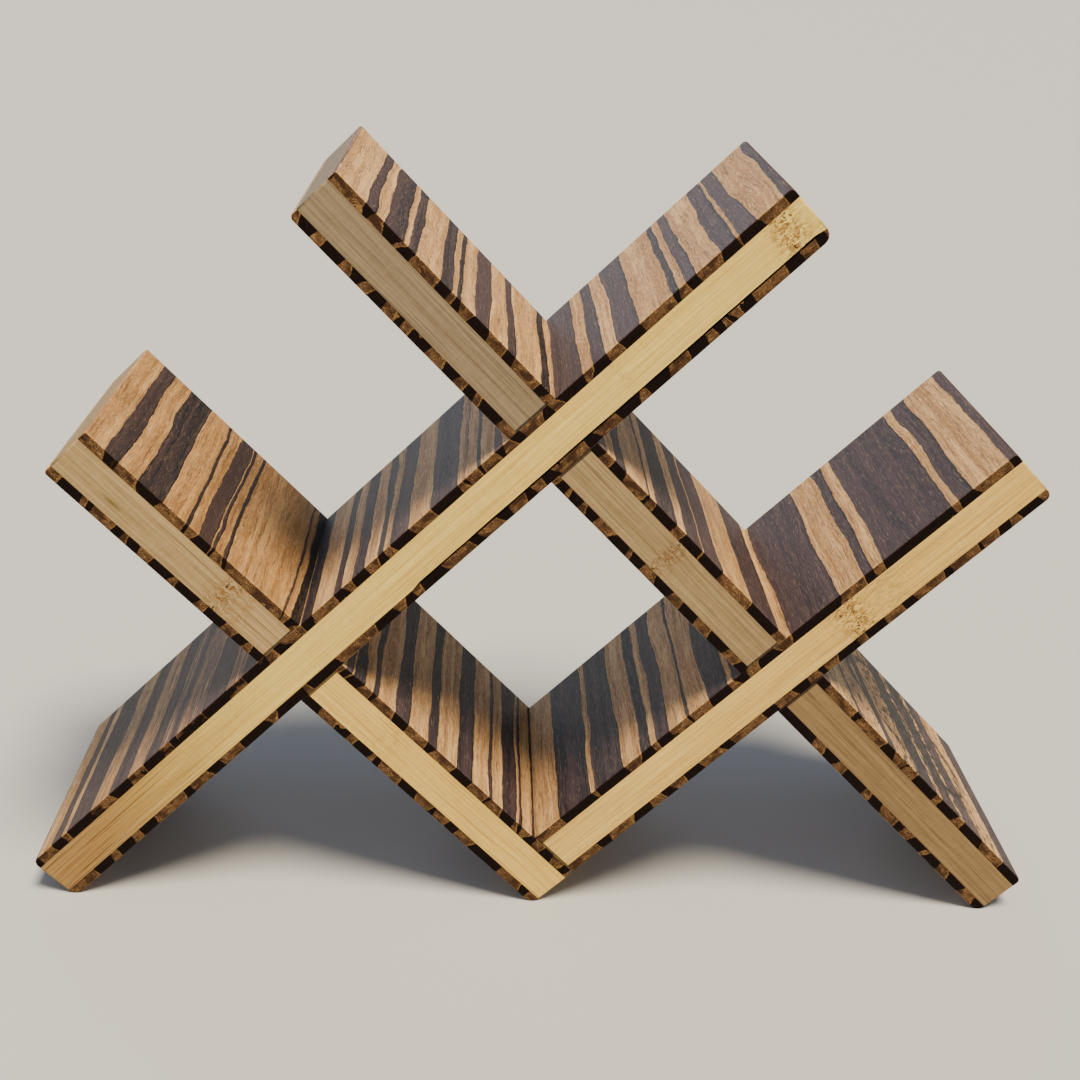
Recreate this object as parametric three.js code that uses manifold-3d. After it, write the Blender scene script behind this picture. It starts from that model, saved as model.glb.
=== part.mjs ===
// A counter-top wine rack of seven three-ply bamboo boards, butt-jointed into a square lattice that
// stands on one corner line. Two long boards rise to the right, and five short ones fall across them.
// Millimetres, +Z up, seen from the front along +Y. The origin is under the middle of the rack, on the
// surface that it stands on.

import * as THREE from "three";
import { mergeVertices } from "three/addons/utils/BufferGeometryUtils.js";
import Module from "manifold-3d";

const wasm = await Module();
wasm.setup();

// Driving dimensions.
const boardThickness = 19;
const coreThickness = 12;
const glueLine = 0.2;
const bay = 90;
const rackDepth = 90;
const jointGap = 0.3;
const footFlat = 3;

// Lengths of the free arms past the outermost joints. Each was cut by hand, so they differ a little.
const upperLeftArm = 88;
const topArm = 91;
const topRightArm = 91;
const rightArm = 90.5;

const dowelDiameter = 8;
const dowelClearance = 0.25;
const dowelInEnd = 22;
const dowelInFace = 11;
const dowelSpread = 46;
const dowelChamfer = 0.8;
const dowelSides = 24;

// Derived sizes. u runs up to the right and v up to the left, from the joint over the middle foot.
const half = boardThickness / 2;
const pitch = bay + boardThickness;
const facePly = (boardThickness - coreThickness) / 2 - glueLine;
const footChamfer = footFlat / Math.SQRT2;
const floorBelowLattice = (boardThickness - footChamfer) / Math.SQRT2;

const RISING = 0;
const FALLING = Math.PI / 2;

// Each board starts at the middle of its left-hand end, and its upper face carries the bottles. The rising
// boards are cut from paler stock than the boards that fall from the top joint.
const boards = [
  {
    name: "long_rising_board", turn: RISING, u: -pitch - half, v: pitch,
    length: 2 * pitch + boardThickness + topRightArm, foot: "start",
    faceColor: 0x9c8062, coreColor: 0xd8c594,
  },
  {
    name: "short_rising_board", turn: RISING, u: half + jointGap, v: 0,
    length: pitch + rightArm - jointGap,
    faceColor: 0xa07e58, coreColor: 0xcdb684,
  },
  {
    name: "upper_left_arm", turn: FALLING, u: 0, v: pitch + half + upperLeftArm,
    length: upperLeftArm - jointGap,
    faceColor: 0x8f7a68, coreColor: 0xd0b27c,
  },
  {
    name: "top_arm", turn: FALLING, u: pitch, v: pitch + half + topArm,
    length: topArm - jointGap,
    faceColor: 0x93806f, coreColor: 0xb0966e,
  },
  {
    name: "middle_foot_board", turn: FALLING, u: 0, v: pitch - half - jointGap,
    length: pitch - jointGap, foot: "end",
    faceColor: 0x96765a, coreColor: 0xcfae76,
  },
  {
    name: "middle_divider", turn: FALLING, u: pitch, v: pitch - half - jointGap,
    length: bay - 2 * jointGap,
    faceColor: 0x8c735b, coreColor: 0xac916a,
  },
  {
    name: "right_foot_board", turn: FALLING, u: pitch, v: -half - jointGap,
    length: pitch - jointGap, foot: "end",
    faceColor: 0x97795b, coreColor: 0xa98f6c,
  },
];

// Each joint has a pair of dowels. Three pairs pass through a rising board into the short boards on both
// sides of it, and one pair joins the short rising board's lower end to the face of the middle foot board.
const throughLength = boardThickness + 2 * dowelInEnd;
const endLength = dowelInFace + jointGap + dowelInEnd;
const middleDowelCentre = half - dowelInFace + endLength / 2;
const joints = [
  { name: "dowel_left_joint", turn: FALLING, u: 0, v: pitch, length: throughLength },
  { name: "dowel_top_joint", turn: FALLING, u: pitch, v: pitch, length: throughLength },
  { name: "dowel_right_joint", turn: FALLING, u: pitch, v: 0, length: throughLength },
  { name: "dowel_middle_joint", turn: RISING, u: middleDowelCentre, v: 0, length: endLength },
];

// The faces have a satin lacquer, the sawn edges of the core are duller, and the dowels are bare.
const faceRoughness = 0.45;
const coreRoughness = 0.6;
const dowelColor = 0xc9a877;
const dowelRoughness = 0.75;

function wood(color, roughness) {
  return new THREE.MeshStandardMaterial({ color, roughness, metalness: 0 });
}

// A closed mesh as a solid that can be cut, and a cut solid as a mesh's geometry again.
function solidOf(geometry) {
  const bare = geometry.clone();
  bare.deleteAttribute("normal");
  bare.deleteAttribute("uv");
  const merged = mergeVertices(bare, 1e-4);
  return new wasm.Manifold(new wasm.Mesh({
    numProp: 3,
    vertProperties: new Float32Array(merged.attributes.position.array),
    triVerts: new Uint32Array(merged.index.array),
  }));
}

function geometryOf(solid) {
  const mesh = solid.getMesh();
  const geometry = new THREE.BufferGeometry();
  geometry.setAttribute("position", new THREE.BufferAttribute(mesh.vertProperties.slice(), 3));
  geometry.setIndex(new THREE.BufferAttribute(mesh.triVerts.slice(), 1));
  geometry.computeVertexNormals();
  return geometry;
}

// One ply before its holes: length along x from 0, thickness from z = low to high, depth centred on y = 0.
// A ply that carries a foot has its lowest corner sanded to a narrow flat.
function plyBlank(length, low, high, foot) {
  const outline = new THREE.Shape();
  const atStart = foot === "start" ? footChamfer : 0;
  const atEnd = foot === "end" ? footChamfer : 0;
  outline.moveTo(atStart, low);
  outline.lineTo(length - atEnd, low);
  if (atEnd > 0) {
    outline.lineTo(length, low + atEnd);
  }
  outline.lineTo(length, high);
  outline.lineTo(0, high);
  if (atStart > 0) {
    outline.lineTo(0, low + atStart);
  }
  outline.closePath();
  const blank = new THREE.ExtrudeGeometry(outline, { depth: rackDepth, bevelEnabled: false });
  blank.rotateX(Math.PI / 2);
  blank.translate(0, rackDepth / 2, 0);
  return blank;
}

// A dowel along x, centred on the origin, with chamfered ends.
function dowelShape(length, radius, chamfer) {
  const profile = [
    new THREE.Vector2(0, -length / 2),
    new THREE.Vector2(radius - chamfer, -length / 2),
    new THREE.Vector2(radius, -length / 2 + chamfer),
    new THREE.Vector2(radius, length / 2 - chamfer),
    new THREE.Vector2(radius - chamfer, length / 2),
    new THREE.Vector2(0, length / 2),
  ];
  const dowel = new THREE.LatheGeometry(profile, dowelSides);
  dowel.rotateZ(Math.PI / 2);
  return dowel;
}

// Where a board or dowel sits in the lattice: x along u, z along v.
function placeOf(piece, y) {
  const place = new THREE.Matrix4().makeRotationY(piece.turn);
  place.setPosition(piece.u, y, piece.v);
  return place;
}

const dowelPlaces = [];
for (const joint of joints) {
  for (const side of ["front", "rear"]) {
    const y = side === "front" ? -dowelSpread / 2 : dowelSpread / 2;
    dowelPlaces.push({ ...joint, name: `${joint.name}_${side}`, y });
  }
}

// The drill for a dowel's hole is wider by the clearance, and longer by the clearance at each end.
function drillFor(dowel, boardPlace) {
  const radius = dowelDiameter / 2 + dowelClearance;
  const drill = dowelShape(dowel.length + 2 * dowelClearance, radius, dowelChamfer);
  drill.applyMatrix4(placeOf(dowel, dowel.y));
  drill.applyMatrix4(boardPlace.clone().invert());
  return solidOf(drill);
}

// A board is three glued plies: dark faces with a thicker pale core between them.
function makeBoard(board) {
  const group = new THREE.Group();
  const boardPlace = placeOf(board, 0);
  group.applyMatrix4(boardPlace);
  const core = coreThickness / 2;
  const { faceColor, coreColor, foot } = board;
  const plies = [
    { part: "upper_ply", low: half - facePly, high: half, material: wood(faceColor, faceRoughness) },
    { part: "core", low: -core, high: core, material: wood(coreColor, coreRoughness) },
    { part: "lower_ply", low: -half, high: -half + facePly, foot, material: wood(faceColor, faceRoughness) },
  ];
  for (const ply of plies) {
    let solid = solidOf(plyBlank(board.length, ply.low, ply.high, ply.foot));
    for (const dowel of dowelPlaces) {
      solid = solid.subtract(drillFor(dowel, boardPlace));
    }
    const mesh = new THREE.Mesh(geometryOf(solid), ply.material);
    mesh.name = `${board.name}_${ply.part}`;
    group.add(mesh);
  }
  return group;
}

// The lattice is turned so that u rises to the right, and lifted until its feet are on z = 0.
const lattice = new THREE.Group();
lattice.rotation.y = -Math.PI / 4;
lattice.position.z = floorBelowLattice;

for (const board of boards) {
  lattice.add(makeBoard(board));
}

for (const dowel of dowelPlaces) {
  const shape = dowelShape(dowel.length, dowelDiameter / 2, dowelChamfer);
  const mesh = new THREE.Mesh(shape, wood(dowelColor, dowelRoughness));
  mesh.name = dowel.name;
  mesh.position.set(dowel.u, dowel.y, dowel.v);
  mesh.rotation.y = dowel.turn;
  lattice.add(mesh);
}

const wineRack = new THREE.Group();
wineRack.name = "wine_rack";
wineRack.add(lattice);

export default wineRack;
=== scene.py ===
"""A counter-top wine rack: seven laminated bamboo boards, joined in a square lattice turned to 45 degrees."""

import math

import bmesh
import bpy
from mathutils import Matrix, Vector


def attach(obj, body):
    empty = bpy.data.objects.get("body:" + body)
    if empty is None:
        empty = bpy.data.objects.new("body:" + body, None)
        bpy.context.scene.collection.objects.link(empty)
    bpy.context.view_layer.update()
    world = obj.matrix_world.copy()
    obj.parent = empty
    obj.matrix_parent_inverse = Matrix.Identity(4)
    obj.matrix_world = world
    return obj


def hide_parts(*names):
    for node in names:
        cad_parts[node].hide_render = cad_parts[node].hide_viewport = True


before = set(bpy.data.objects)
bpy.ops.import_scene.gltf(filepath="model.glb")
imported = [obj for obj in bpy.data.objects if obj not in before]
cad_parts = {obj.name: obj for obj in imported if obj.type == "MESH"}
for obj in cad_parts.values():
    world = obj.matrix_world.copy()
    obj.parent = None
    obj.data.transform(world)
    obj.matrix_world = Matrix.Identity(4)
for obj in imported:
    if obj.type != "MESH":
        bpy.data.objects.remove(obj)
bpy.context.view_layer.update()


# Long rising board ------------------------------------------------------------------------------
# The backbone: it runs from the left foot to the upper right arm, with two arms on it and two boards
# under it. Like all seven boards it is three glued plies: a 12 mm core of pale bamboo between two
# 3.3 mm plies of pressed bamboo strands, with small rounds along their front and back edges.

# A board's own axes are x along it from its left-hand end, y to the back, and z across the plies.
# All patterns are drawn in those axes, in millimetres, with z = 0 at the middle of the core.
mm = 0.001
slope = math.radians(45)
board_depth = 90.0
ply_arris = 0.6
arris_wear = 0.4
same_place = 1e-5


def add(tree, kind, inputs=None, output=0, **options):
    """Adds a node, sets its options, joins or sets its inputs by name or number, and gives an output."""
    node = tree.nodes.new(kind)
    for option, value in options.items():
        setattr(node, option, value)
    for name, value in (inputs or {}).items():
        if isinstance(value, bpy.types.NodeSocket):
            tree.links.new(value, node.inputs[name])
        else:
            node.inputs[name].default_value = value
    return node.outputs[output] if node.outputs else None


def maths(tree, operation, *values, clamp=False):
    """One step of arithmetic."""
    return add(tree, "ShaderNodeMath", dict(enumerate(values)), operation=operation, use_clamp=clamp)


def plus(tree, a, b):
    return maths(tree, "ADD", a, b)


def minus(tree, a, b):
    return maths(tree, "SUBTRACT", a, b)


def times(tree, a, b):
    return maths(tree, "MULTIPLY", a, b)


def point_of(tree, x=0.0, y=0.0, z=0.0):
    return add(tree, "ShaderNodeCombineXYZ", {"X": x, "Y": y, "Z": z})


def parts_of(tree, point):
    """The x, y and z of a point."""
    node = tree.nodes.new("ShaderNodeSeparateXYZ")
    tree.links.new(point, node.inputs[0])
    return tuple(node.outputs)


def span(node, turn):
    """Lowest and highest corner of a CAD node in axes turned about the rack's depth."""
    upright = Matrix.Rotation(-turn, 3, "Y")
    points = [upright @ v.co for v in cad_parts[node].data.vertices]
    low = Vector(min(p[axis] for p in points) for axis in range(3))
    high = Vector(max(p[axis] for p in points) for axis in range(3))
    return low, high


def new_tree(name, sizes):
    """A geometry tree with a named input for each size, and its inputs as a dictionary."""
    tree = bpy.data.node_groups.new(name, "GeometryNodeTree")
    for size in sizes:
        tree.interface.new_socket(name=size, in_out="INPUT", socket_type="NodeSocketFloat")
    tree.interface.new_socket(name="Material", in_out="INPUT", socket_type="NodeSocketMaterial")
    tree.interface.new_socket(name="Geometry", in_out="OUTPUT", socket_type="NodeSocketGeometry")
    given = tree.nodes.new("NodeGroupInput").outputs
    return tree, {socket.name: socket for socket in given if socket.name}


def keep(tree, geometry, name, value, data_type="FLOAT"):
    """Stores a value on the geometry's points."""
    inputs = {"Geometry": geometry, "Name": name, "Value": value}
    return add(tree, "GeometryNodeStoreNamedAttribute", inputs, data_type=data_type, domain="POINT")


def skin_on(tree, outline, rows):
    """A closed skin on an outline, whose wall has that many rows. Each point knows its outline and row."""
    position = add(tree, "GeometryNodeInputPosition")
    index = add(tree, "GeometryNodeInputIndex")
    edge = keep(tree, outline, "outline", position, "FLOAT_VECTOR")
    line = add(tree, "GeometryNodeCurvePrimitiveLine", {"Start": (0, 0, 0), "End": (mm, 0, 0)})
    line = add(tree, "GeometryNodeResampleCurve", {"Curve": line, "Count": rows})
    line = keep(tree, line, "row", index)
    wall = add(tree, "GeometryNodeCurveToMesh", {"Curve": edge, "Profile Curve": line})
    cap = add(tree, "GeometryNodeFillCurve", {"Curve": outline}, mode="NGONS")
    cap = keep(tree, cap, "outline", position, "FLOAT_VECTOR")
    skin = tree.nodes.new("GeometryNodeJoinGeometry")
    for piece in (wall, keep(tree, cap, "row", 0.0), keep(tree, cap, "row", rows - 1.0)):
        tree.links.new(piece, skin.inputs[0])
    known = "GeometryNodeInputNamedAttribute"
    at = add(tree, known, {"Name": "outline"}, data_type="FLOAT_VECTOR")
    row = add(tree, known, {"Name": "row"}, data_type="FLOAT")
    return skin.outputs[0], at, row


def finish_tree(tree, skin, position, material):
    """Moves the skin's points to where they belong, welds it, and ends the tree."""
    skin = add(tree, "GeometryNodeSetPosition", {"Geometry": skin, "Position": position})
    skin = add(tree, "GeometryNodeMergeByDistance", {"Geometry": skin, "Distance": 1e-6})
    for name in ("outline", "row"):
        skin = add(tree, "GeometryNodeRemoveAttribute", {"Geometry": skin, "Name": name})
    skin = add(tree, "GeometryNodeRealizeInstances", {"Geometry": skin})
    skin = add(tree, "GeometryNodeSetMaterial", {"Geometry": skin, "Material": material})
    add(tree, "NodeGroupOutput", {"Geometry": skin})


def run_tree(tree, name, settings):
    """Runs a geometry tree once, and gives its result as a plain mesh on a new object."""
    maker = bpy.data.objects.new(name + "_maker", bpy.data.meshes.new(name + "_maker"))
    bpy.context.scene.collection.objects.link(maker)
    modifier = maker.modifiers.new("Tree", "NODES")
    modifier.node_group = tree
    for item in tree.interface.items_tree:
        if item.in_out == "INPUT":
            modifier[item.identifier] = settings[item.name]
    graph = bpy.context.evaluated_depsgraph_get()
    mesh = bpy.data.meshes.new_from_object(maker.evaluated_get(graph))
    bpy.data.objects.remove(maker)
    mesh.name = name
    made = bpy.data.objects.new(name, mesh)
    bpy.context.scene.collection.objects.link(made)
    return made


def ply_tree():
    """A straight slab, x along, y across from its glued side, z deep, with its free arrises rounded."""
    sizes = ("Length", "Thickness", "Depth", "Arris", "Start corner", "End corner",
             "Start free", "End free", "Outer", "Wear", "Seed")
    tree, given = new_tree("sanded_ply", sizes)
    length, thickness, arris = given["Length"], given["Thickness"], given["Arris"]
    start_corner, end_corner = given["Start corner"], given["End corner"]

    # Only the two long sides are divided, so that their arrises can wear unevenly.
    division = 4 * mm
    corners = {
        "Point 1": point_of(tree),
        "Point 2": point_of(tree, length),
        "Point 3": point_of(tree, length, thickness),
        "Point 4": point_of(tree, 0.0, thickness),
    }
    outline = add(tree, "GeometryNodeCurvePrimitiveQuadrilateral", corners, mode="POINTS")
    index = add(tree, "GeometryNodeInputIndex")
    long_side = minus(tree, 1.0, maths(tree, "MODULO", index, 2.0))
    cuts = times(tree, long_side, maths(tree, "DIVIDE", length, division))
    outline = add(tree, "GeometryNodeSubdivideCurve", {"Curve": outline, "Cuts": cuts})

    # The outer corners of a free end are rounded more than the arrises.
    corner_points = 6
    x, y, _ = parts_of(tree, add(tree, "GeometryNodeInputPosition"))
    at_start = maths(tree, "LESS_THAN", x, same_place)
    at_end = maths(tree, "GREATER_THAN", x, minus(tree, length, same_place))
    on_top = maths(tree, "GREATER_THAN", y, minus(tree, thickness, same_place))
    radius = plus(tree, times(tree, at_start, start_corner), times(tree, at_end, end_corner))
    radius = times(tree, on_top, radius)
    rounding = {"Curve": outline, "Count": corner_points, "Radius": radius, "Limit Radius": True}
    outline = add(tree, "GeometryNodeFilletCurve", rounding, mode="POLY")

    # The rows of points near the front and the back turn through a right angle round the arris.
    rows = 10
    skin, at, row = skin_on(tree, outline, rows)
    x, y, _ = parts_of(tree, at)
    from_middle = minus(tree, row, (rows - 1) / 2)
    side = maths(tree, "SIGN", from_middle)
    steps_in = minus(tree, (rows - 1) / 2, maths(tree, "ABSOLUTE", from_middle))
    angle = times(tree, steps_in, math.pi / 2 / (rows / 2 - 1))

    # The wear is drawn apart for the front and the back, so that the two arrises differ.
    front_to_back = 0.05
    wear_scale = 90.0
    where = point_of(tree, x, y, times(tree, side, front_to_back))
    uneven = {"Vector": where, "W": given["Seed"], "Scale": wear_scale, "Detail": 2.0}
    uneven = add(tree, "ShaderNodeTexNoise", uneven, noise_dimensions="4D")
    uneven = maths(tree, "MULTIPLY_ADD", uneven, 2.0, -1.0)
    arris = times(tree, arris, maths(tree, "MULTIPLY_ADD", uneven, given["Wear"], 1.0))
    set_back = times(tree, arris, minus(tree, 1.0, maths(tree, "COSINE", angle)))
    inset = times(tree, arris, minus(tree, 1.0, maths(tree, "SINE", angle)))
    half_depth = times(tree, given["Depth"], 0.5)
    z = times(tree, side, minus(tree, half_depth, set_back))

    # Each point is drawn in towards a smaller slab, which reaches a metre past the sides that stay square.
    beyond = 1.0
    start_round = maths(tree, "MAXIMUM", start_corner, given["Arris"])
    end_round = maths(tree, "MAXIMUM", end_corner, given["Arris"])
    past_middle = maths(tree, "GREATER_THAN", x, times(tree, length, 0.5))
    near_round = maths(tree, "MULTIPLY_ADD", past_middle, minus(tree, end_round, start_round), start_round)
    start_move = times(tree, given["Start free"], plus(tree, start_round, beyond))
    end_move = times(tree, given["End free"], plus(tree, end_round, beyond))
    top_move = times(tree, given["Outer"], plus(tree, near_round, beyond))
    low_x = minus(tree, start_move, beyond)
    high_x = minus(tree, plus(tree, length, beyond), end_move)
    high_y = minus(tree, plus(tree, thickness, beyond), top_move)
    inner_x = maths(tree, "MINIMUM", maths(tree, "MAXIMUM", x, low_x), high_x)
    inner_y = maths(tree, "MINIMUM", y, high_y)
    outwards = point_of(tree, minus(tree, x, inner_x), minus(tree, y, inner_y))
    outwards = add(tree, "ShaderNodeVectorMath", {0: outwards}, operation="NORMALIZE")
    drawn_in = add(tree, "ShaderNodeVectorMath", {0: outwards, "Scale": inset}, operation="SCALE")
    place = add(tree, "ShaderNodeVectorMath", {0: point_of(tree, x, y, z), 1: drawn_in}, operation="SUBTRACT")
    finish_tree(tree, skin, place, given["Material"])
    return tree


sanded_ply = ply_tree()


def smooth_rounds(mesh, turn):
    """Turns the faces outwards, and shades flat what is square to the board's own axes."""
    shape = bmesh.new()
    shape.from_mesh(mesh)
    bmesh.ops.recalc_face_normals(shape, faces=shape.faces)
    upright = Matrix.Rotation(-turn, 3, "Y")
    square = math.cos(math.radians(4))
    for face in shape.faces:
        normal = upright @ face.normal
        face.smooth = max(abs(part) for part in normal) < square
    shape.to_mesh(mesh)
    shape.free()


# A glued end reaches over most of the 0.3 mm gap at its joint, and the core over most of its 0.2 mm
# glue lines.
joint_fill = 0.25
glue_fill = 0.15


def make_ply(node, turn, seed, free, corners, outer, material):
    """One ply where its CAD node is, with its place in its mesh."""
    low, high = span(node, turn)
    low.x -= 0 if free[0] else joint_fill * mm
    high.x += 0 if free[1] else joint_fill * mm
    low.z -= 0 if outer else glue_fill * mm
    high.z += 0 if outer else glue_fill * mm
    settings = {
        "Length": high.x - low.x, "Thickness": high.z - low.z, "Depth": high.y - low.y,
        "Arris": ply_arris * mm, "Start corner": corners[0] * mm, "End corner": corners[1] * mm,
        "Start free": float(free[0]), "End free": float(free[1]), "Outer": float(outer != 0),
        "Wear": arris_wear, "Seed": float(seed), "Material": material,
    }
    ply = run_tree(sanded_ply, node + "_sanded", settings)
    middle = (low.y + high.y) / 2
    if outer < 0:
        own_axes = Matrix(((1, 0, 0, low.x), (0, 0, 1, middle), (0, -1, 0, high.z), (0, 0, 0, 1)))
    else:
        own_axes = Matrix(((1, 0, 0, low.x), (0, 0, -1, middle), (0, 1, 0, low.z), (0, 0, 0, 1)))
    ply.data.transform(Matrix.Rotation(turn, 4, "Y") @ own_axes)

    # The corners that the rack stands on are sanded to flats at the floor.
    for point in ply.data.vertices:
        point.co.z = max(point.co.z, 0.0)
    return ply


# Every joint has two dowels. The middle joint's lie along the rising boards, and the others across them.
dowel_nodes = sorted(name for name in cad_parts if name.startswith("dowel_"))
dowel_turns = {name: -slope if "middle_joint" in name else slope for name in dowel_nodes}
hole_clearance = 0.2
hole_sides = 32


def drill(ply, turn):
    """Drills the holes for the dowels that reach into the ply."""
    bpy.context.view_layer.update()
    for dowel in dowel_nodes:
        low, high = span(dowel, dowel_turns[dowel])
        upright = Matrix.Rotation(-dowel_turns[dowel], 3, "Y")
        points = [upright @ v.co for v in ply.data.vertices]
        reach = [(min(p[axis] for p in points), max(p[axis] for p in points)) for axis in range(3)]
        if any(reach[axis][0] > high[axis] or reach[axis][1] < low[axis] for axis in range(3)):
            continue
        radius = (high.z - low.z) / 2 + hole_clearance * mm
        length = high.x - low.x + 2 * hole_clearance * mm
        bit_mesh = bpy.data.meshes.new("drill_bit")
        shape = bmesh.new()
        size = {"radius1": radius, "radius2": radius, "depth": length}
        bmesh.ops.create_cone(shape, cap_ends=True, segments=hole_sides, **size)
        shape.to_mesh(bit_mesh)
        shape.free()
        bit_mesh.transform(Matrix.Rotation(math.pi / 2, 4, "Y"))
        bit_mesh.transform(Matrix.Translation((low + high) / 2))
        bit_mesh.transform(Matrix.Rotation(dowel_turns[dowel], 4, "Y"))
        bit = bpy.data.objects.new("drill_bit", bit_mesh)
        bpy.context.scene.collection.objects.link(bit)
        hole = ply.modifiers.new("Hole", "BOOLEAN")
        hole.object = bit
        hole.operation = "DIFFERENCE"
        hole.solver = "EXACT"
        graph = bpy.context.evaluated_depsgraph_get()
        drilled = bpy.data.meshes.new_from_object(ply.evaluated_get(graph))
        ply.modifiers.remove(hole)
        ply.data = drilled
        bpy.data.objects.remove(bit)
    smooth_rounds(ply.data, turn)
    ply.data.name = ply.name


def shade(code):
    """A colour written as RRGGBB, as a shader takes it."""
    parts = [int(code[i:i + 2], 16) / 255 for i in (0, 2, 4)]
    return tuple(p / 12.92 if p <= 0.04045 else ((p + 0.055) / 1.055) ** 2.4 for p in parts)


def new_material(name, turn, origin):
    """A material, its tree, its shader, and the point being shaded in the board's axes in millimetres."""
    material = bpy.data.materials.new(name)
    material.use_nodes = True
    tree = material.node_tree
    at = add(tree, "ShaderNodeTexCoord", output="Object")
    own = {"Vector": at, "Location": origin, "Rotation": (0, turn, 0), "Scale": (mm, mm, mm)}
    at = add(tree, "ShaderNodeMapping", own, vector_type="TEXTURE")
    return material, tree, tree.nodes["Principled BSDF"], at


def grain(tree, at, sizes, seed, detail=2.0, roughness=0.5, distortion=0.0):
    """Noise from 0 to 1, whose blobs are about that long, deep and thick in millimetres."""
    scale = {"Vector": at, "Scale": tuple(1 / size for size in sizes)}
    at = add(tree, "ShaderNodeMapping", scale, vector_type="POINT")
    inputs = {"Vector": at, "W": float(seed), "Scale": 1.0, "Detail": detail}
    inputs.update({"Roughness": roughness, "Distortion": distortion})
    return add(tree, "ShaderNodeTexNoise", inputs, noise_dimensions="4D")


def between(tree, value, low, high, start=0.0, end=1.0, smooth=False):
    """Maps low to high onto start to end."""
    inputs = {"Value": value, "From Min": low, "From Max": high, "To Min": start, "To Max": end}
    kind = "SMOOTHSTEP" if smooth else "LINEAR"
    return add(tree, "ShaderNodeMapRange", inputs, interpolation_type=kind)


def mixed(tree, share, first, second, blend="MIX"):
    """Two colours, each a socket or written RRGGBB, mixed by a share from 0 to 1."""
    node = tree.nodes.new("ShaderNodeMix")
    node.data_type = "RGBA"
    node.blend_type = blend
    for number, value in ((0, share), (6, first), (7, second)):
        if isinstance(value, str):
            node.inputs[number].default_value = (*shade(value), 1)
        else:
            tree.links.new(value, node.inputs[number])
    return node.outputs[2]


def bell(tree, value, middle, reach):
    """A bump that is 1 at the middle and fades over the reach."""
    away = maths(tree, "DIVIDE", minus(tree, value, middle), reach)
    return maths(tree, "EXPONENT", times(tree, times(tree, away, away), -1.0))


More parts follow.
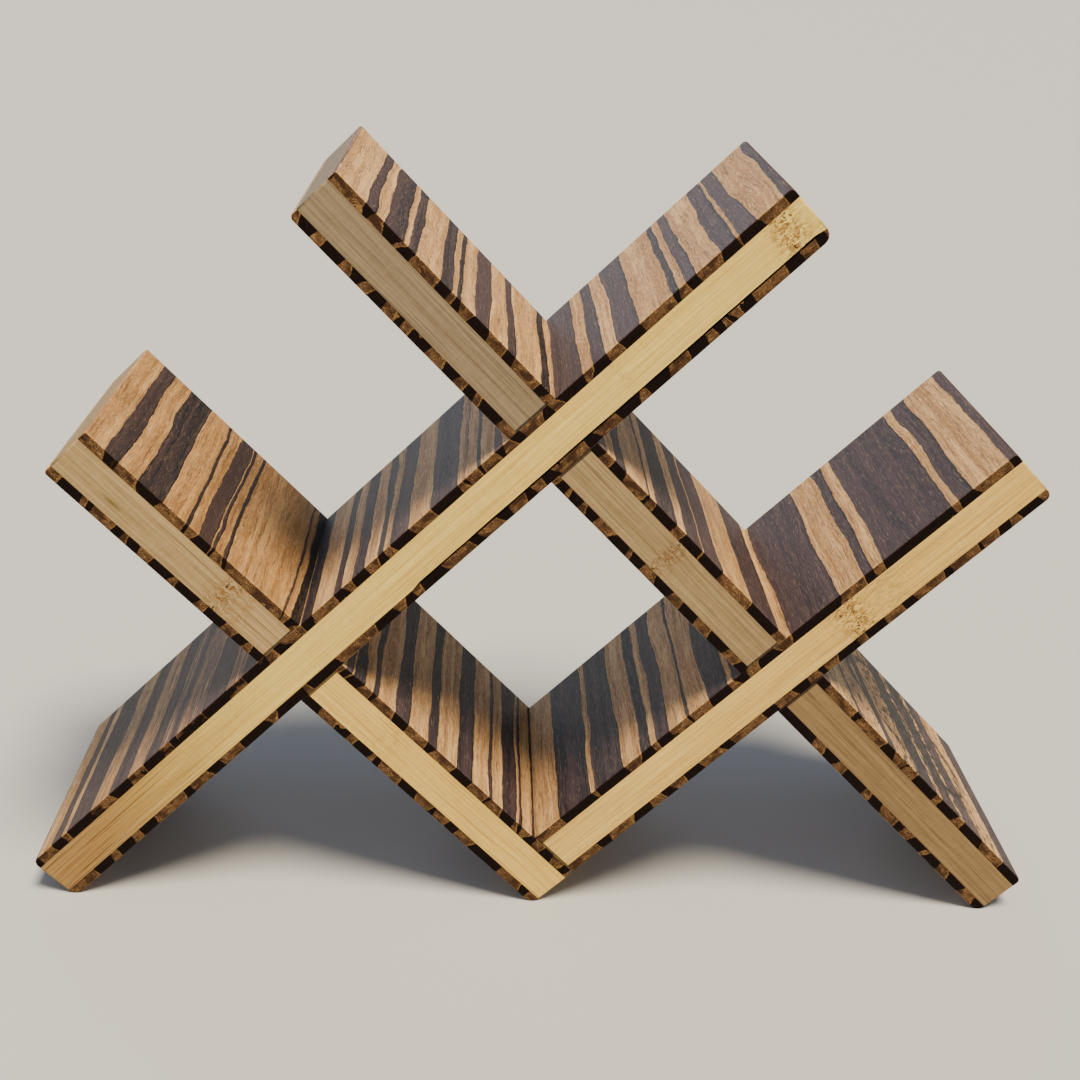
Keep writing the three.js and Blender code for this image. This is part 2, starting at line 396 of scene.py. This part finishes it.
def core_bamboo(name, turn, origin, length, look, free, seed):
    """Pale bamboo strips on edge, which run the length of the board, with the joints of the culm."""
    material, tree, shader, at = new_material(name, turn, origin)
    along, deep, across = parts_of(tree, at)

    # The grain ripples round a culm joint.
    nearness = 0.0
    for middle, reach, strength in look["joints"]:
        swell = bell(tree, along, float(middle), float(reach))
        nearness = maths(tree, "MULTIPLY_ADD", swell, strength, nearness)
    ripple = minus(tree, grain(tree, at, (2.6, 5, 1.8), seed + 0.1), 0.5)
    drift = minus(tree, grain(tree, at, (70, 9, 12), seed + 0.2, 1.0), 0.5)
    bend = times(tree, times(tree, ripple, nearness), 5.0)
    bend = maths(tree, "MULTIPLY_ADD", drift, 1.4, bend)
    bent = add(tree, "ShaderNodeVectorMath", {0: at, 1: point_of(tree, 0.0, 0.0, bend)}, operation="ADD")

    # Fibres run in bundles of about 1 mm, each with finer lines. Each strip has a tone of its own.
    strip_width = 5.0
    strip = maths(tree, "FLOOR", times(tree, plus(tree, deep, board_depth / 2), 1 / strip_width))
    strip_tone = {"W": times(tree, strip, 1.37)}
    strip_tone = add(tree, "ShaderNodeTexWhiteNoise", strip_tone, noise_dimensions="1D")
    bundles = grain(tree, bent, (90, 1.6, 0.9), seed + 0.3, 2.0)
    lines = grain(tree, bent, (34, 0.5, 0.28), seed + 0.4, 2.0, 0.6)
    hairs = grain(tree, bent, (9, 0.35, 0.2), seed + 0.5, 2.0, 0.6)
    cross = grain(tree, at, (0.8, 30, 3.5), seed + 0.6, 2.0)
    tone = times(tree, between(tree, bundles, 0.36, 0.64), 0.55)
    tone = maths(tree, "MULTIPLY_ADD", between(tree, cross, 0.35, 0.65), 0.22, tone)
    tone = maths(tree, "MULTIPLY_ADD", strip_tone, 0.12, tone)
    colour = mixed(tree, tone, look["pale"], look["deep"])
    line_share = between(tree, lines, 0.5, 0.62, 0.0, look["lines"])
    if "dull_from" in look:
        dullness = between(tree, along, look["dull_from"], 10.0, 0.0, 1.0, True)
        line_share = times(tree, line_share, plus(tree, 1.0, times(tree, dullness, 1.3)))
    colour = mixed(tree, line_share, colour, look["line"])
    hair_share = between(tree, hairs, 0.5, 0.66, 0.0, 0.5 * look["lines"])
    colour = mixed(tree, hair_share, colour, look["line"])
    colour = mixed(tree, between(tree, hairs, 0.44, 0.3, 0.0, 0.5), colour, look["pale"])
    if "dull_from" in look:
        colour = mixed(tree, dullness, colour, look["dull"], "MULTIPLY")

    # Brown pits crowd the joint, with paler slivers between them.
    if look["joints"]:
        slivers = grain(tree, bent, (1.9, 1.6, 0.55), seed + 0.7, 2.0, 0.6)
        pits = grain(tree, bent, (1.1, 1.0, 0.6), seed + 0.8, 1.0)
        near = maths(tree, "MINIMUM", nearness, 1.0)
        brown = times(tree, between(tree, slivers, 0.47, 0.57, 0.0, 0.95), near)
        colour = mixed(tree, brown, colour, look["joint"])
        glow = times(tree, between(tree, slivers, 0.46, 0.34, 0.0, 0.6), near)
        colour = mixed(tree, glow, colour, look["pale"])
        pit = times(tree, between(tree, pits, 0.6, 0.66), between(tree, near, 0.35, 0.8))
        colour = mixed(tree, pit, colour, "2C190C")
    if "stain" in look:
        middle, height = look["stain"]
        patch = times(tree, bell(tree, along, middle, 3.6), bell(tree, across, height, 0.6))
        patch = times(tree, patch, bell(tree, deep, -board_depth / 2, 5.0))
        colour = mixed(tree, times(tree, patch, 0.8), colour, "4A4A14")

    # Where the strips are sawn across, their fibres show as dots.
    sawn_skin = 0.25
    off_centre = maths(tree, "ABSOLUTE", minus(tree, along, length / 2))
    sawn = maths(tree, "GREATER_THAN", off_centre, length / 2 - sawn_skin)
    dots = grain(tree, at, (30, 0.32, 0.4), seed + 0.9, 1.0)
    dots = times(tree, between(tree, dots, 0.52, 0.66, 0.0, 0.5), sawn)
    colour = mixed(tree, dots, colour, look["line"])

    # A dark line of glue shows where an end is butted against the next board.
    glue_line = 0.5
    seam = 0.0
    if not free[0]:
        seam = maths(tree, "LESS_THAN", along, glue_line)
    if not free[1]:
        seam = plus(tree, seam, maths(tree, "GREATER_THAN", along, length - glue_line))
    if free != (True, True):
        colour = mixed(tree, times(tree, seam, 0.85), colour, "1C120C")

    tree.links.new(colour, shader.inputs["Base Color"])
    tree.links.new(between(tree, lines, 0.3, 0.7, 0.5, 0.66), shader.inputs["Roughness"])
    shader.inputs["Specular IOR Level"].default_value = 0.15
    height = maths(tree, "MULTIPLY_ADD", hairs, 0.4, times(tree, lines, -1.0))
    bump = {"Height": height, "Strength": 0.6, "Distance": 0.12 * mm}
    tree.links.new(add(tree, "ShaderNodeBump", bump), shader.inputs["Normal"])
    return material


def dark_share(tree, along, strands, length):
    """How dark the strand at a place along the board is. One ramp covers each stretch of 109 mm."""
    stretch = 109.0
    share = None
    for number in range(max(1, round(length / stretch))):
        start = number * stretch
        node = tree.nodes.new("ShaderNodeValToRGB")
        node.color_ramp.interpolation = "CONSTANT"
        stops = {0.0: 0.0}
        for begin, end, darkness in strands:
            if end <= start or begin >= start + stretch:
                continue
            stops[max((begin - start) / stretch, 0.0)] = darkness
            if end < start + stretch:
                stops.setdefault((end - start) / stretch, 0.0)
        for place in sorted(stops):
            stop = node.color_ramp.elements[0] if place == 0 else node.color_ramp.elements.new(place)
            stop.color = (stops[place], stops[place], stops[place], 1)
        node.color_ramp.elements.remove(node.color_ramp.elements[-1])
        place = maths(tree, "DIVIDE", minus(tree, along, start), stretch, clamp=True)
        tree.links.new(place, node.inputs["Fac"])
        here = node.outputs["Color"]
        share = here if share is None else mixed(tree, maths(tree, "GREATER_THAN", along, start), share, here)
    return share


def strand_layout(tree, at, length, strands, seed):
    """Where each strand lies: its own axes, and how dark it and what is just beside it are."""
    along, deep, across = parts_of(tree, at)

    # The edges of the strands wander, step and fray along their length, and lean through the ply.
    def wander(sizes, number, reach, detail=1.0):
        noise = grain(tree, at, sizes, seed + number, detail)
        return times(tree, minus(tree, noise, 0.5), reach)

    half_board = 9.5
    below_face = minus(tree, half_board, maths(tree, "ABSOLUTE", across))
    lean = times(tree, below_face, wander((6, 300, 300), 0.1, 4.2))
    shift = plus(tree, wander((10, 46, 60), 0.2, 3.8), wander((5, 17, 18), 0.3, 1.9, 2.0))
    shift = plus(tree, plus(tree, shift, lean), wander((0.9, 3.2, 0.7), 0.4, 0.9, 3.0))
    place = plus(tree, along, shift)
    rim_width = 0.45
    tone = dark_share(tree, place, strands, length)
    beside = dark_share(tree, plus(tree, place, rim_width), strands, length)
    return point_of(tree, place, deep, across), tone, beside


def strand_faces(name, turn, origin, length, strands, seed, shine, marks):
    """Bamboo strands that run front to back, pressed with resin and sanded: tan and near-black by turns."""
    material, tree, shader, at = new_material(name, turn, origin)
    own, tone, beside = strand_layout(tree, at, length, strands, seed)

    # Each strand has its own tone, with long streaks and short crinkles in it.
    strand = grain(tree, own, (2.1, 150, 2.0), seed + 0.5, 1.0)
    streaks = grain(tree, own, (0.42, 18, 0.5), seed + 0.6, 3.0, 0.6, 0.4)
    crinkles = grain(tree, own, (0.4, 3.6, 0.5), seed + 0.7, 3.0, 0.65, 0.7)
    blotches = grain(tree, own, (5, 24, 6), seed + 0.8, 2.0)
    threads = grain(tree, own, (0.24, 4.5, 0.3), seed + 0.9, 2.0, 0.6, 0.3)

    light = mixed(tree, between(tree, strand, 0.38, 0.62), "AE8454", "D5AF7E")
    light = mixed(tree, between(tree, blotches, 0.4, 0.62, 0.0, 0.6), light, "A07A50")
    light = mixed(tree, between(tree, streaks, 0.52, 0.63, 0.0, 0.75), light, "6A4A2E")
    light = mixed(tree, between(tree, crinkles, 0.47, 0.36, 0.0, 0.5), light, "E7C996")
    light = mixed(tree, between(tree, crinkles, 0.54, 0.64, 0.0, 0.45), light, "745234")
    dark = mixed(tree, between(tree, strand, 0.42, 0.58), "18161C", "382B30")
    dark = mixed(tree, between(tree, tone, 0.62, 0.96), "4C3A3E", dark)
    dark = mixed(tree, between(tree, streaks, 0.52, 0.7, 0.0, 0.5), dark, "5E4C48")
    dark = mixed(tree, between(tree, threads, 0.56, 0.7, 0.0, 0.6), dark, "8A786C")
    fray = maths(tree, "MULTIPLY_ADD", minus(tree, streaks, 0.5), 0.9, tone)
    fray = maths(tree, "MULTIPLY_ADD", minus(tree, strand, 0.5), 0.5, fray)
    darkness = between(tree, fray, 0.3, 0.56, smooth=True)
    colour = mixed(tree, darkness, light, dark)
    rim = maths(tree, "MAXIMUM", minus(tree, tone, beside), 0.0)
    colour = mixed(tree, times(tree, rim, 0.8), colour, "100C0C")
    if marks:
        colour = marks(tree, at, colour)

    tree.links.new(colour, shader.inputs["Base Color"])
    tree.links.new(between(tree, crinkles, 0.3, 0.7, 0.5, 0.66), shader.inputs["Roughness"])
    shader.inputs["Specular IOR Level"].default_value = shine
    height = times(tree, crinkles, minus(tree, 1.15, darkness))
    height = maths(tree, "MULTIPLY_ADD", streaks, -0.7, height)
    bump = {"Height": height, "Strength": 0.8, "Distance": 0.3 * mm}
    tree.links.new(add(tree, "ShaderNodeBump", bump), shader.inputs["Normal"])
    return material


def strand_ends(name, turn, origin, length, strands, seed):
    """The same strands sawn across: darker, matt and dotted with fibres, some with a golden rim."""
    material, tree, shader, at = new_material(name, turn, origin)
    own, tone, beside = strand_layout(tree, at, length, strands, seed)
    dots = grain(tree, own, (0.34, 3, 0.34), seed + 1.1, 2.0, 0.65)
    curls = grain(tree, own, (2.4, 30, 1.5), seed + 1.2, 1.0, 0.5, 1.4)
    smears = grain(tree, own, (4.0, 40, 2.2), seed + 1.3, 2.0)

    light = mixed(tree, between(tree, dots, 0.4, 0.62), "6E5034", "2A1B12")
    light = mixed(tree, between(tree, smears, 0.4, 0.6, 0.0, 0.8), light, "2A1B13")
    vein = times(tree, bell(tree, curls, 0.5, 0.014), between(tree, smears, 0.62, 0.45))
    light = mixed(tree, times(tree, vein, 0.6), light, "A58254")
    dark = mixed(tree, between(tree, dots, 0.48, 0.68), "070404", "26150E")
    darkness = maths(tree, "MULTIPLY_ADD", minus(tree, smears, 0.5), 0.5, tone)
    darkness = between(tree, darkness, 0.36, 0.5, smooth=True)
    colour = mixed(tree, darkness, light, dark)
    golden = maths(tree, "MAXIMUM", minus(tree, beside, tone), 0.0)
    golden = times(tree, golden, between(tree, dots, 0.62, 0.42))
    colour = mixed(tree, times(tree, golden, 0.6), colour, "94703F")

    tree.links.new(colour, shader.inputs["Base Color"])
    tree.links.new(between(tree, dots, 0.35, 0.65, 0.75, 0.95), shader.inputs["Roughness"])
    shader.inputs["Specular IOR Level"].default_value = 0.08
    height = maths(tree, "MULTIPLY_ADD", vein, 0.6, dots)
    bump = {"Height": height, "Strength": 0.7, "Distance": 0.15 * mm}
    tree.links.new(add(tree, "ShaderNodeBump", bump), shader.inputs["Normal"])
    return material


# A face of a ply is sawn across its strands where its normal leans this far to the front or the back.
sawn_tilt = 0.6


def make_board(board, rises, free, upper_corners, lower_corners, core, upper, lower, seed,
               shine=0.25, marks=None):
    """Glues up one board: its core and its two striped plies, drilled for the dowels.

    What comes in pairs is given for the left-hand end, then the right-hand end.
    """
    turn = -slope if rises else slope
    low, high = span(board + "_core", turn)
    length = (high.x - low.x) / mm
    origin = Matrix.Rotation(turn, 3, "Y") @ Vector((low.x, (low.y + high.y) / 2, (low.z + high.z) / 2))
    plies = (("core", (0, 0), 0), ("upper_ply", upper_corners, 1), ("lower_ply", lower_corners, -1))
    for part, corners, outer in plies:
        node = f"{board}_{part}"
        own = (turn, origin, length)
        if outer:
            strands = upper if outer > 0 else lower
            ply_seed = seed + 3 * outer
            own_marks = marks if outer > 0 else None
            finishes = (strand_faces(node + "_faces", *own, strands, ply_seed, shine, own_marks),
                        strand_ends(node + "_ends", *own, strands, ply_seed))
        else:
            finishes = (core_bamboo(node + "_bamboo", *own, core, free, seed),)
        ply = make_ply(node, turn, seed + outer, free, corners, outer, finishes[0])
        drill(ply, turn)
        ply.data.materials.clear()
        for finish in finishes:
            ply.data.materials.append(finish)
        for face in ply.data.polygons:
            sawn_across = abs(face.normal.y) > sawn_tilt
            face.material_index = 1 if outer and sawn_across else 0
        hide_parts(node)
        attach(ply, "root")


# Dark strands are listed as where each begins and ends along the board, and how dark it is, up to 1.
# A core's joints are listed as where each lies, how far it reaches, and how strong it is.
make_board(
    "long_rising_board", rises=True, free=(True, True),
    upper_corners=(2.4, 1.4), lower_corners=(3.3, 3.4), seed=10,
    core={
        "pale": "DEC470", "deep": "C4A24C", "line": "8E6628", "lines": 0.38, "joint": "80582A",
        "joints": ((319, 5.5, 1.0), (256, 1.6, 0.25)), "dull": "B4A6BC", "dull_from": 115.0,
    },
    upper=(
        # On the upper ply, the tan strands from 29 to 101 mm are listed half dark as painted shade, for the
        # shadow of the upper left arm over that stretch.
        (0, 2, 0.8), (9, 14, 0.9), (17, 29, 0.9), (29, 38, 0.4), (38, 46.5, 0.9), (46.5, 55, 0.44),
        (55, 62.5, 0.9), (62.5, 66.5, 0.46), (66.5, 70, 0.9), (70, 83, 0.5), (83, 94, 0.9),
        (94, 101, 0.46), (101, 109, 0.9), (109, 112, 0.5), (115, 119, 0.9), (128, 133, 0.95),
        (143, 146.5, 0.9), (151, 157, 0.9), (162, 165, 0.9), (168, 175.5, 0.85), (185, 196.5, 0.9),
        (198.5, 200, 0.5), (204, 206, 0.9), (212, 215, 0.7), (218, 222, 0.9), (231, 234, 0.9),
        (237, 247, 0.85), (252, 257, 0.85), (261.5, 270.5, 0.85), (282.5, 285, 0.9), (288, 292, 0.85),
        (301, 306.5, 0.85), (307.6, 313.5, 0.8), (324.5, 328, 0.85),
    ),
    lower=(
        (13, 20, 0.95), (24, 31, 0.95), (35, 42, 0.95), (56, 60, 0.9), (69, 75, 0.9), (83, 96, 0.95),
        (98, 113, 0.95), (116, 129, 0.9), (145, 154, 0.95), (157, 162, 0.9), (164, 176, 0.92),
        (187, 191.5, 0.95), (200, 203, 0.9), (208, 213, 0.95), (217, 223, 0.95), (234, 240, 0.9),
        (247, 255, 0.95), (259, 266, 0.95), (274, 281, 0.95), (284, 287, 0.85), (290, 292.5, 0.9),
        (295, 299, 0.95), (311, 318, 0.95), (322, 326, 0.85),
    ),
)


# Middle foot board ------------------------------------------------------------------------------
# It hangs from under the long rising board and falls to the middle foot. Its lower end is sanded to
# the flat that it stands on.

make_board(
    "middle_foot_board", rises=False, free=(False, True),
    upper_corners=(0, 1.8), lower_corners=(0, 3.3), seed=20,
    core={
        "pale": "DFBF6A", "deep": "C6A04C", "line": "8A6228", "lines": 0.45, "joint": "8E6430",
        "joints": ((30, 6, 0.3),),
    },
    upper=(
        (1, 4.5, 0.8), (5.5, 9, 0.95), (12.8, 15.6, 0.9), (23, 29, 0.95), (38, 42, 0.9),
        (52, 59.4, 0.98), (67.2, 68.8, 0.85), (74, 80.6, 1.0), (82, 83.2, 0.9), (88.5, 91, 1.0),
        (95, 99, 0.9), (104, 107, 0.9),
    ),
    lower=(
        (0, 6, 0.85), (14, 19, 0.9), (22, 28, 0.95), (31, 34, 0.8), (43, 51, 0.95), (57, 60, 0.9),
        (65, 69.5, 0.95), (76, 90, 0.95), (100.5, 104, 0.95),
    ),
)


# Short rising board -----------------------------------------------------------------------------
# It butts onto the middle foot board, low down, and rises to the right-hand arm.

make_board(
    "short_rising_board", rises=True, free=(False, True),
    upper_corners=(0, 1.2), lower_corners=(0, 2.2), seed=30,
    core={
        "pale": "DABA6A", "deep": "C09A50", "line": "84602C", "lines": 0.45, "joint": "7A5226",
        "joints": ((129, 5.5, 1.0), (143, 6, 0.35)),
    },
    upper=(
        (10.5, 25, 0.95), (27, 38.5, 0.95), (47, 51, 0.95), (54, 60, 0.9), (66.5, 68, 0.9), (76, 84, 0.9),
        (86, 92, 0.9), (97, 103, 0.8), (109.5, 129.5, 0.85), (140.5, 143.8, 0.9), (148, 174, 0.9),
        (177, 183, 0.9), (195.5, 200, 0.85),
    ),
    lower=(
        (14, 18, 0.95), (28, 36, 0.9), (43, 47, 0.9), (51, 59, 0.95), (69, 72, 0.95), (86, 90, 0.95),
        (99, 104, 0.95), (109, 111, 0.9), (115, 124, 0.9), (127, 135, 0.9), (142, 148, 0.8),
        (158, 162, 0.9), (172, 174, 0.9), (179, 183, 0.95), (188, 196, 0.9),
    ),
)


# Middle divider ---------------------------------------------------------------------------------
# It is glued between the two rising boards, and parts the central bay from the right-hand one. Neither
# of its ends is free.

make_board(
    "middle_divider", rises=False, free=(False, False),
    upper_corners=(0, 0), lower_corners=(0, 0), seed=40,
    core={
        "pale": "9E8862", "deep": "7C6648", "line": "4E3C26", "lines": 0.5, "joint": "6A4824",
        "joints": ((43, 3.6, 0.8),),
    },
    upper=(
        (0, 3.5, 0.6), (7.8, 12, 0.95), (22.4, 23.8, 0.85), (27, 36.2, 0.9), (41, 48.6, 0.85),
        (49.6, 58, 0.85), (72.2, 86, 0.95),
    ),
    lower=(
        (1, 5, 0.9), (7, 11, 0.85), (14, 17, 0.95), (24, 33, 0.9), (35, 40, 0.9), (46, 52, 0.9),
        (58, 66, 0.85), (72, 79, 0.9), (84, 89, 0.9),
    ),
)


# Right foot board -------------------------------------------------------------------------------
# It hangs from under the short rising board and falls to the right foot. Its upper face is marked with
# black flecks and a thin dark ring.

ring_middle = (61.0, 2.0)
ring_radius = 31.5
ring_width = 1.7


def ring_and_flecks(tree, at, colour):
    """Short black flecks, thickest over the middle of the face, and a thin, patchy dark ring."""
    along, deep, _ = parts_of(tree, at)
    crowd = between(tree, maths(tree, "ABSOLUTE", minus(tree, along, 63.0)), 30.0, 8.0, 0.0, 0.34)
    crowd = times(tree, crowd, between(tree, deep, -board_depth / 2, -12.0, 0.45, 1.0))
    flecks = grain(tree, at, (1.6, 4.5, 1.6), 58.0, 2.0, 0.6, 0.6)
    flecks = between(tree, plus(tree, flecks, times(tree, crowd, 0.36)), 0.56, 0.62, smooth=True)
    colour = mixed(tree, times(tree, flecks, 0.95), colour, "0A0809")
    brown = between(tree, grain(tree, at, (1.4, 6.0, 1.4), 59.0, 2.0), 0.58, 0.64, 0.0, 0.7)
    colour = mixed(tree, brown, colour, "2C2022")
    aside = minus(tree, along, ring_middle[0])
    behind = minus(tree, deep, ring_middle[1])
    away = plus(tree, times(tree, aside, aside), times(tree, behind, behind))
    ring = bell(tree, maths(tree, "SQRT", away), ring_radius, ring_width)
    patchy = between(tree, grain(tree, at, (14, 14, 14), 57.0), 0.38, 0.5, 0.4, 1.0)
    return mixed(tree, times(tree, ring, patchy), colour, "060404")


make_board(
    "right_foot_board", rises=False, free=(False, True),
    upper_corners=(0, 1.8), lower_corners=(0, 3.3), seed=50, shine=0.35, marks=ring_and_flecks,
    core={
        "pale": "8C7450", "deep": "6E573A", "line": "44301C", "lines": 0.5, "joint": "6A4824",
        "joints": (),
    },
    upper=(
        (0, 3, 0.8), (17.8, 19.6, 0.85), (33.2, 37.6, 0.9), (45, 46, 0.45), (51.5, 60.5, 0.9),
        (63.5, 73.5, 0.88), (76.5, 85.5, 0.75), (98, 108.7, 0.9),
    ),
    lower=(
        (0, 16, 0.85), (22, 27, 0.9), (33, 43, 0.92), (46, 53, 0.9), (61, 64, 0.9), (68, 75, 0.9),
        (77, 84, 0.9), (90, 96, 0.9), (104, 108.7, 0.9),
    ),
)


# Upper left arm ---------------------------------------------------------------------------------
# It falls from its free end onto the long rising board, and makes the left-hand bay with it. Its upper face
# is darkened and browned all over with painted shade, in broad patches.

# The tint of the painted shade on the upper left arm's face.
painted_shade_tint = "DACEB2"


def painted_shade_patches(tree, at, colour):
    """Darkens and browns the whole face as painted shade, in broad patches that are stronger and weaker."""
    patches = between(tree, grain(tree, at, (16, 26, 16), 67.0), 0.35, 0.65, 0.6, 1.0)
    return mixed(tree, patches, colour, painted_shade_tint, "MULTIPLY")


make_board(
    "upper_left_arm", rises=False, free=(True, False),
    upper_corners=(0.9, 0), lower_corners=(1.3, 0), seed=60, marks=painted_shade_patches,
    core={
        "pale": "AE966C", "deep": "8E744C", "line": "584228", "lines": 0.5, "joint": "7A5626",
        "joints": ((65, 4.5, 0.9), (72.5, 2.2, 0.4)), "stain": (20.5, -1.8),
    },
    upper=(
        (8, 12.3, 0.85), (12.3, 13.4, 1.0), (21, 31, 0.98), (39.6, 41, 0.9), (45, 51, 0.8),
        (51.3, 52.7, 0.95), (55.5, 57, 0.95), (81.3, 81.8, 0.6), (84.5, 88, 1.0),
    ),
    lower=(
        (4, 14, 0.85), (16, 17.5, 0.7), (25, 29, 0.85), (32, 37, 0.9), (41, 48, 0.85), (52, 60, 0.85),
        (64, 71, 0.9), (76, 80, 0.85), (84, 88, 0.95),
    ),
)


# Top arm ----------------------------------------------------------------------------------------
# It falls from its free end, at the top of the rack, onto the long rising board, and makes the top
# cradle with it.

make_board(
    "top_arm", rises=False, free=(True, False),
    upper_corners=(0.9, 0), lower_corners=(1.6, 0), seed=70,
    core={
        "pale": "8E7E62", "deep": "6E5E48", "line": "443626", "lines": 0.52, "joint": "6A4824",
        "joints": (),
    },
    upper=(
        (0, 0.7, 0.5), (12, 15.5, 0.9), (19, 26.5, 0.9), (28.6, 32, 0.9), (42, 47, 0.92),
        (49, 51, 0.9), (56, 63, 0.85), (70.2, 73.4, 0.9), (85.5, 88.7, 1.0),
    ),
    lower=(
        (3, 8, 0.9), (12, 19, 0.95), (24, 27, 0.9), (30, 36, 0.9), (41, 44, 0.95), (47, 54, 0.85),
        (61, 66, 0.9), (70, 74, 0.9), (77, 85, 0.95),
    ),
)


# Dowels -----------------------------------------------------------------------------------------
# Two fluted beech dowels in each joint, glued into the drilled holes and hidden once the rack is
# together. The flutes let the glue out of the hole, and the ends are chamfered.

flutes = 18
points_per_flute = 6
flute_depth = 0.35
dowel_chamfer = 0.8


def dowel_tree():
    """A round peg along z, with straight grooves round it and a chamfer at both ends."""
    tree, given = new_tree("fluted_dowel", ("Length", "Radius", "Flutes", "Flute depth", "Chamfer"))
    points = times(tree, given["Flutes"], float(points_per_flute))
    circle = {"Resolution": points, "Radius": given["Radius"]}
    outline = add(tree, "GeometryNodeCurvePrimitiveCircle", circle)
    around = times(tree, add(tree, "GeometryNodeInputIndex"), 2 * math.pi / points_per_flute)
    wave = maths(tree, "MULTIPLY_ADD", maths(tree, "COSINE", around), 0.5, 0.5)
    groove = times(tree, maths(tree, "POWER", wave, 3.0), given["Flute depth"])
    share = minus(tree, 1.0, maths(tree, "DIVIDE", groove, given["Radius"]))
    place = add(tree, "GeometryNodeInputPosition")
    place = add(tree, "ShaderNodeVectorMath", {0: place, "Scale": share}, operation="SCALE")
    outline = add(tree, "GeometryNodeSetPosition", {"Geometry": outline, "Position": place})

    # Of the four rows, the first and the last are the tips, and the chamfer narrows them.
    rows = 4
    skin, at, row = skin_on(tree, outline, rows)
    from_middle = minus(tree, row, (rows - 1) / 2)
    side = maths(tree, "SIGN", from_middle)
    at_tip = maths(tree, "GREATER_THAN", maths(tree, "ABSOLUTE", from_middle), 1.0)
    shoulder = minus(tree, times(tree, given["Length"], 0.5), given["Chamfer"])
    reach = maths(tree, "MULTIPLY_ADD", at_tip, given["Chamfer"], shoulder)
    share = times(tree, at_tip, maths(tree, "DIVIDE", given["Chamfer"], given["Radius"]))
    share = minus(tree, 1.0, share)
    place = add(tree, "ShaderNodeVectorMath", {0: at, "Scale": share}, operation="SCALE")
    lift = point_of(tree, 0.0, 0.0, times(tree, side, reach))
    place = add(tree, "ShaderNodeVectorMath", {0: place, 1: lift}, operation="ADD")
    finish_tree(tree, skin, place, given["Material"])
    return tree


def beech(name, turn):
    """Pinkish-tan beech with the short dark rays that mark it."""
    material, tree, shader, at = new_material(name, turn, (0, 0, 0))
    fibres = grain(tree, at, (14, 0.5, 0.5), 90, 3.0, 0.6)
    rays = grain(tree, at, (2.2, 0.4, 0.4), 91, 1.0)
    colour = mixed(tree, between(tree, fibres, 0.3, 0.7), "D3AE7E", "B98F5E")
    colour = mixed(tree, between(tree, rays, 0.6, 0.72, 0.0, 0.6), colour, "94683F")
    tree.links.new(colour, shader.inputs["Base Color"])
    shader.inputs["Roughness"].default_value = 0.7
    bump = {"Height": fibres, "Strength": 0.3, "Distance": 0.1 * mm}
    tree.links.new(add(tree, "ShaderNodeBump", bump), shader.inputs["Normal"])
    return material


fluted_dowel = dowel_tree()
falling_beech = beech("falling_beech", slope)
rising_beech = beech("rising_beech", -slope)
for dowel in dowel_nodes:
    turn = dowel_turns[dowel]
    low, high = span(dowel, turn)
    settings = {
        "Length": high.x - low.x, "Radius": (high.z - low.z) / 2, "Flutes": float(flutes),
        "Flute depth": flute_depth * mm, "Chamfer": dowel_chamfer * mm,
        "Material": falling_beech if turn > 0 else rising_beech,
    }
    peg = run_tree(fluted_dowel, dowel + "_fluted", settings)
    peg.data.transform(Matrix.Rotation(math.pi / 2, 4, "Y"))
    peg.data.transform(Matrix.Translation((low + high) / 2))
    peg.data.transform(Matrix.Rotation(turn, 4, "Y"))
    smooth_rounds(peg.data, turn)
    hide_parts(dowel)
    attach(peg, "root")


# Floor, light and camera ------------------------------------------------------------------------
# The rack stands on a plain pale floor. A strong, warm, soft lamp hangs nearly overhead, a little to the
# front and the right. A weaker warm one shines from the front and a faint cool one from behind, and the
# rest is cool, even studio light.

floor_reach = 30.0
corners = [(x * floor_reach, y * floor_reach, 0) for x, y in ((-1, -1), (1, -1), (1, 1), (-1, 1))]
floor_mesh = bpy.data.meshes.new("floor")
floor_mesh.from_pydata(corners, [], [(0, 1, 2, 3)])
floor = bpy.data.objects.new("floor", floor_mesh)
bpy.context.scene.collection.objects.link(floor)
floor_paint = bpy.data.materials.new("floor_paint")
floor_paint.use_nodes = True
paint = floor_paint.node_tree.nodes["Principled BSDF"].inputs
paint["Base Color"].default_value = (0.46, 0.48, 0.52, 1)
paint["Roughness"].default_value = 0.8
paint["Specular IOR Level"].default_value = 0.2
floor_mesh.materials.append(floor_paint)

studio = bpy.data.worlds.new("studio")
bpy.context.scene.world = studio
studio.use_nodes = True
studio.node_tree.nodes["Background"].inputs["Color"].default_value = (0.72, 0.85, 1.0, 1)
studio.node_tree.nodes["Background"].inputs["Strength"].default_value = 0.29

lamp_distance = 2.0


def distant_lamp(name, direction, spread, strength, colour):
    """A lamp far away in that direction, whose shadows are as soft as the spread in degrees."""
    lamp = bpy.data.lights.new(name, "SUN")
    lamp.angle = math.radians(spread)
    lamp.energy = strength
    lamp.color = colour
    holder = bpy.data.objects.new(name, lamp)
    holder.location = Vector(direction).normalized() * lamp_distance
    holder.rotation_euler = Vector(direction).to_track_quat("Z", "Y").to_euler()
    bpy.context.scene.collection.objects.link(holder)


distant_lamp("overhead", (0.198, -0.285, 0.938), 22, 7.4, (1.0, 0.83, 0.58))
distant_lamp("front", (-0.05, -1.0, 0.03), 15, 2.3, (1.0, 0.88, 0.68))
distant_lamp("back", (-0.3, 0.9, 0.36), 40, 0.7, (0.80, 0.88, 1.0))

camera_data = bpy.data.cameras.new("camera")
camera_data.lens = 51.785
camera_data.sensor_width = 36
camera = bpy.data.objects.new("camera", camera_data)
camera.location = (-0.0223, -0.48605, 0.31895)
camera.rotation_euler = [math.radians(angle) for angle in (67.2236, -2.3464, -1.5598)]
bpy.context.scene.collection.objects.link(camera)
bpy.context.scene.camera = camera

bpy.context.view_layer.update()
